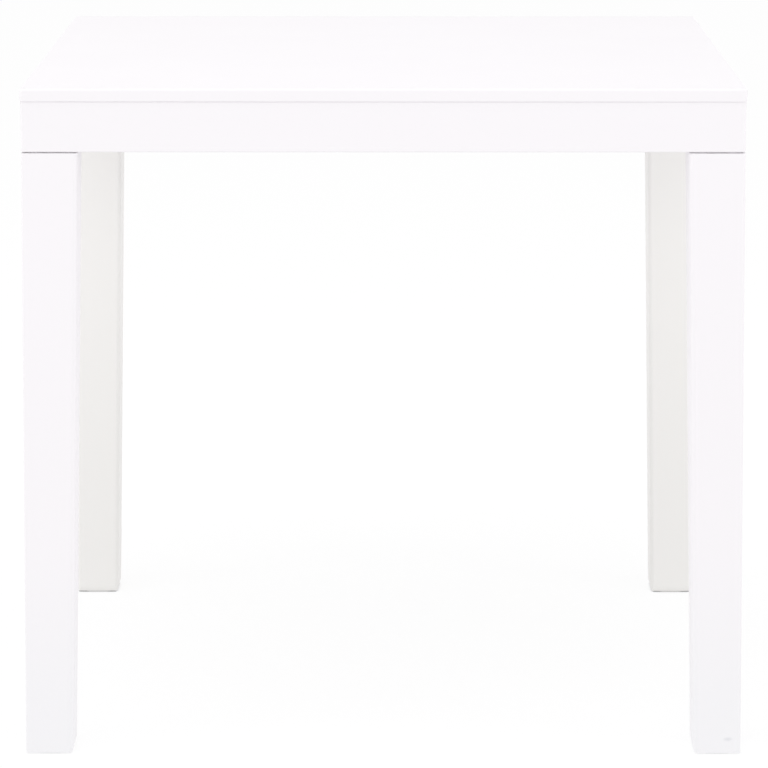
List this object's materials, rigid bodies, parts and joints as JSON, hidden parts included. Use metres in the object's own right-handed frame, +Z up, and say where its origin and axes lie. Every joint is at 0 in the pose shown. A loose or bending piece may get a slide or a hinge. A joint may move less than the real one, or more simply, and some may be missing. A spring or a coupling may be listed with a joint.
{
  "type": "garden table",
  "caption": "Nearly square white plastic garden table: flat top with a rim and deep apron on detachable tapered box legs with glides",
  "frame": {"origin": "middle of the footprint, on the floor", "axes": "+X to the right along the front, +Y to the rear, +Z up"},
  "size_m": [0.7922, 0.7422, 0.74],
  "materials": {
    "white_plastic": "satin moulded",
    "glide_plastic": "matt moulded",
    "screw_steel": "zinc plated"
  },
  "bodies": {
    "root": {"tabletop": "white_plastic", "leg_front_left": "white_plastic", "leg_rear_left": "white_plastic", "leg_front_right": "white_plastic", "leg_rear_right": "white_plastic", "foot_glide_front_left": "glide_plastic", "foot_glide_rear_left": "glide_plastic", "foot_glide_front_right": "glide_plastic", "foot_glide_rear_right": "glide_plastic", "leg_screw_front_left_along_x": "screw_steel", "leg_screw_front_left_along_y": "screw_steel", "leg_screw_rear_left_along_x": "screw_steel", "leg_screw_rear_left_along_y": "screw_steel", "leg_screw_front_right_along_x": "screw_steel", "leg_screw_front_right_along_y": "screw_steel", "leg_screw_rear_right_along_x": "screw_steel", "leg_screw_rear_right_along_y": "screw_steel"}
  },
  "joints": []
}
